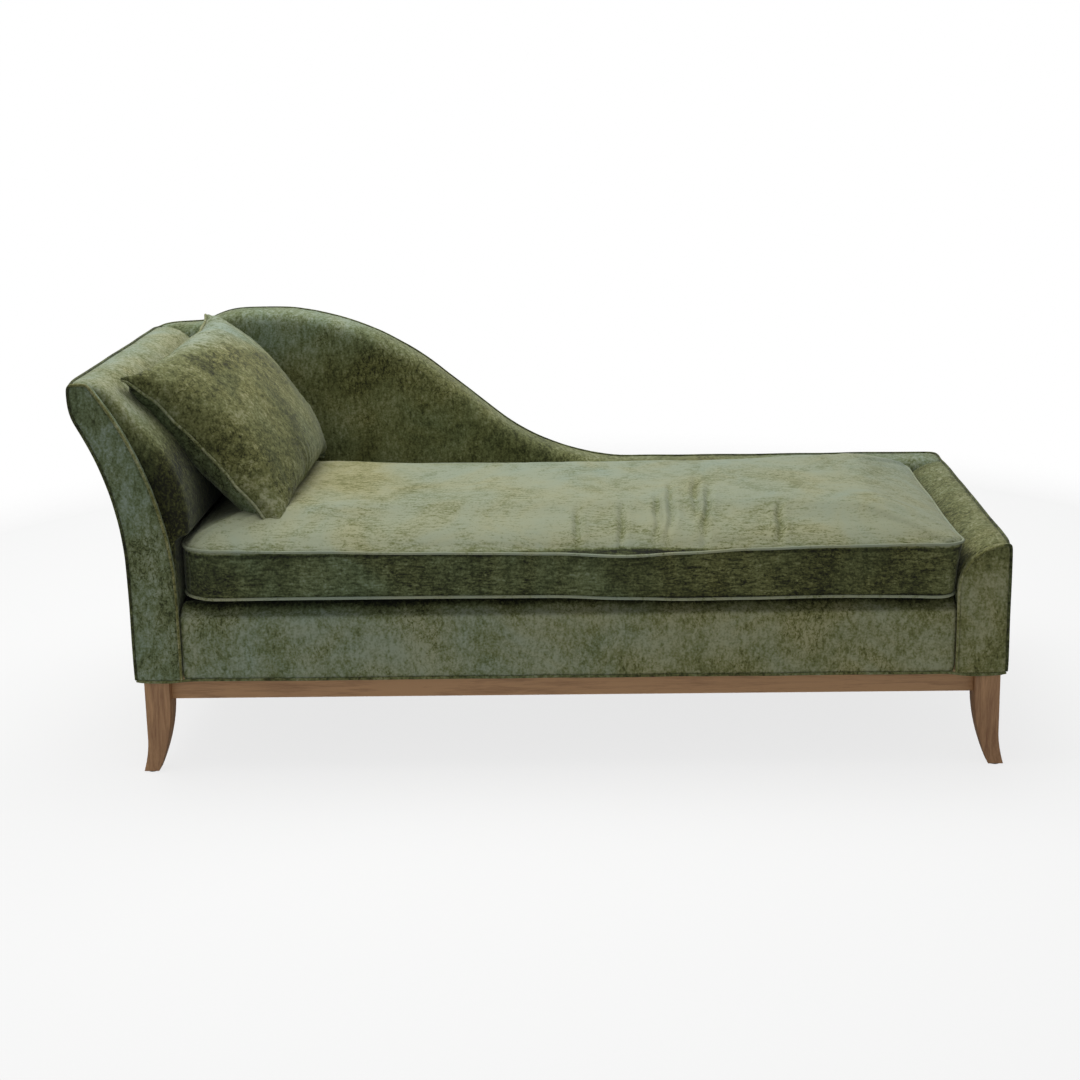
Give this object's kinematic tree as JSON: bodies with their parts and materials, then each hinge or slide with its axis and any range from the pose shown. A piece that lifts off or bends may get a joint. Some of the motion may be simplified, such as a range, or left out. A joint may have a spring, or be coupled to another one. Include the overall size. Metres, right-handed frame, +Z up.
{
  "type": "chaise longue",
  "caption": "Upholstered chaise longue with a swept head end, a curved rear wing falling to a low rail, a loose seat cushion, a throw pillow and a wooden base on sabre legs.",
  "frame": {"origin": "on the floor below the middle of the object", "axes": "+X towards the low foot end, +Y towards the rear wing, +Z up; the front faces -Y"},
  "size_m": [1.836, 0.756, 0.835],
  "materials": {
    "body_cloth": "mottled green chenille",
    "piping_cloth": "green chenille over cord",
    "cushion_cloth": "mottled green chenille",
    "pillow_cloth": "mottled green chenille",
    "lining_cloth": "matt woven lining",
    "foam": "matt open cell foam",
    "wadding": "matt polyester wadding",
    "oak": "satin, brown stained oak",
    "frame_wood": "sawn, unfinished",
    "spring_steel": "plain steel wire",
    "fixing_steel": "zinc plated",
    "zip_tape": "woven tape",
    "zip_metal": "painted",
    "glide": "moulded nylon"
  },
  "bodies": {
    "chaise": {"front_apron": "body_cloth", "head_outside_cover": "body_cloth", "foot_outside_cover": "body_cloth", "rear_outside_cover": "body_cloth", "head_inside_cover": "body_cloth", "foot_inside_cover": "body_cloth", "wing_inside_cover": "body_cloth", "head_front_facing": "body_cloth", "foot_front_facing": "body_cloth", "head_facing_welt": "piping_cloth", "foot_facing_welt": "piping_cloth", "top_edge_welt": "piping_cloth", "bottom_welt": "piping_cloth", "dust_cover": "lining_cloth", "deck_cover": "lining_cloth", "head_foam": "foam", "foot_foam": "foam", "wing_foam": "foam", "apron_edge_roll": "foam", "deck_pad": "foam", "head_facing_pad": "foam", "foot_facing_pad": "foam", "skirt_wadding": "wadding", "front_rail": "oak", "rear_rail": "oak", "head_rail": "oak", "foot_rail": "oak", "front_head_leg": "oak", "rear_head_leg": "oak", "front_foot_leg": "oak", "rear_foot_leg": "oak", "corner_braces": "frame_wood", "front_seat_rail": "frame_wood", "rear_seat_rail": "frame_wood", "head_seat_rail": "frame_wood", "foot_seat_rail": "frame_wood", "cross_rails": "frame_wood", "corner_blocks": "frame_wood", "head_posts": "frame_wood", "foot_posts": "frame_wood", "head_top_rail": "frame_wood", "head_lower_rail": "frame_wood", "foot_top_rail": "frame_wood", "wing_panel": "frame_wood", "sinuous_springs": "spring_steel", "leg_bolts": "fixing_steel", "frame_screws": "fixing_steel", "spring_clips": "fixing_steel", "leg_glides": "glide"},
    "seat_cushion": {"seat_cushion_cover": "cushion_cloth", "seat_cushion_core": "foam", "cushion_lower_welt": "piping_cloth", "cushion_upper_welt": "piping_cloth", "cushion_zip": "zip_tape"},
    "pillow": {"pillow_cover": "pillow_cloth", "pillow_filling": "wadding", "pillow_welt": "piping_cloth"},
    "zip_slider": {"zip_slider": "zip_metal"}
  },
  "joints": [
    {"name": "cushion_slide", "type": "slide", "parent": "chaise", "child": "seat_cushion", "axis": [0, -1, 0], "range_m": [0, 0.72]},
    {"name": "pillow_lift", "type": "slide", "parent": "seat_cushion", "child": "pillow", "axis": [0, 0, 1], "range_m": [0, 0.4]},
    {"name": "zip_pull", "type": "slide", "parent": "seat_cushion", "child": "zip_slider", "axis": [-1, 0, 0], "range_m": [0, 0.6]}
  ]
}
